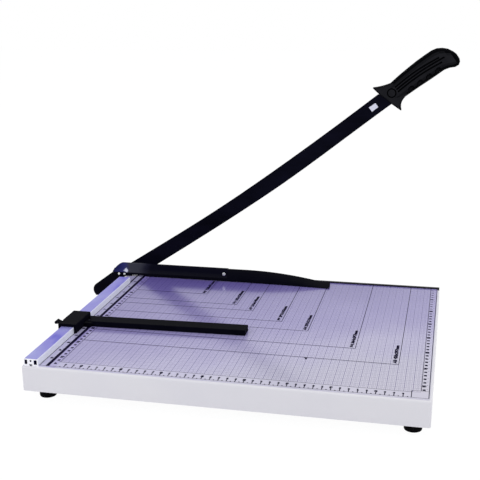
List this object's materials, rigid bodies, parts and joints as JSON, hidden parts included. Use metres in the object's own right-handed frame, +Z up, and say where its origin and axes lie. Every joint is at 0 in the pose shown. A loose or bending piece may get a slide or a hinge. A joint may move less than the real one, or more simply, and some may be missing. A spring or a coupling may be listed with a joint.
{
  "type": "guillotine paper cutter",
  "caption": "Desktop guillotine paper cutter: sheet steel bed printed with rulers and paper outlines, hinged curved blade with a moulded handle, finger guard and sliding gauge.",
  "frame": {"origin": "middle of the printed bed's top face", "axes": "+X along the cutting line away from the fence, +Y across the bed towards the blade, +Z up"},
  "size_m": [0.5622, 0.4193, 0.3992],
  "materials": {
    "tray_enamel": "pale grey baked enamel, slight sheen",
    "bed_print": "lilac printed film, glossy",
    "fence_aluminium": "drawn and anodised",
    "fixed_blade_steel": "blackened, ground along the cutting edge",
    "blackened_steel": "glossy blue-black",
    "black_moulding": "moulded, fine satin grain",
    "zinc_hardware": "bright zinc plate",
    "foot_rubber": "moulded, matte"
  },
  "bodies": {
    "base": {"base_tray": "tray_enamel", "stiffener_left": "tray_enamel", "stiffener_right": "tray_enamel", "printed_bed": "bed_print", "fence": "fence_aluminium", "fixed_blade": "fixed_blade_steel", "pivot_bracket": "blackened_steel", "guard_rail": "blackened_steel", "guard_angle": "blackened_steel", "pivot_bolt": "blackened_steel", "pivot_washer_front": "blackened_steel", "press_bar": "black_moulding", "foot_front_left": "foot_rubber", "foot_screw_front_left": "zinc_hardware", "foot_nut_front_left": "zinc_hardware", "foot_back_left": "foot_rubber", "foot_screw_back_left": "zinc_hardware", "foot_nut_back_left": "zinc_hardware", "foot_front_right": "foot_rubber", "foot_screw_front_right": "zinc_hardware", "foot_nut_front_right": "zinc_hardware", "foot_back_right": "foot_rubber", "foot_screw_back_right": "zinc_hardware", "foot_nut_back_right": "zinc_hardware", "fence_screw_1": "zinc_hardware", "fence_screw_2": "zinc_hardware", "knife_screw_1": "zinc_hardware", "knife_nut_1": "zinc_hardware", "knife_screw_2": "zinc_hardware", "knife_nut_2": "zinc_hardware", "knife_screw_3": "zinc_hardware", "knife_nut_3": "zinc_hardware", "knife_screw_4": "zinc_hardware", "knife_nut_4": "zinc_hardware", "bracket_bolt_1": "zinc_hardware", "bracket_nut_1": "zinc_hardware", "rail_screw_1": "zinc_hardware", "bracket_bolt_2": "zinc_hardware", "bracket_nut_2": "zinc_hardware", "rail_screw_2": "zinc_hardware", "pivot_washer_blade": "zinc_hardware", "pivot_washer_nut": "zinc_hardware", "pivot_lock_nut": "zinc_hardware", "pivot_spring": "zinc_hardware", "guard_screw": "zinc_hardware", "guard_nut": "zinc_hardware", "angle_screw": "zinc_hardware"},
    "blade_arm": {"swing_blade": "blackened_steel", "handle_front": "black_moulding", "handle_back": "black_moulding", "handle_screw_1": "zinc_hardware", "handle_screw_2": "zinc_hardware"},
    "gauge": {"gauge_saddle": "black_moulding", "gauge_arm": "black_moulding", "gauge_screw": "blackened_steel", "lever_pin": "zinc_hardware"},
    "thumb_lever": {"gauge_lever": "black_moulding"}
  },
  "joints": [
    {"name": "blade_hinge", "type": "hinge", "parent": "base", "child": "blade_arm", "pos_m": [-0.2616, 0.197, -0.008], "axis": [0, -1, 0], "range_deg": [-33.4, 1.5]},
    {"name": "gauge_slide", "type": "slide", "parent": "base", "child": "gauge", "axis": [0, 1, 0], "range_m": [-0.105, 0.16]},
    {"name": "lever_hinge", "type": "hinge", "parent": "gauge", "child": "thumb_lever", "pos_m": [-0.2408, -0.0716, 0.0086], "axis": [0, 1, 0], "range_deg": [0, 10]}
  ]
}
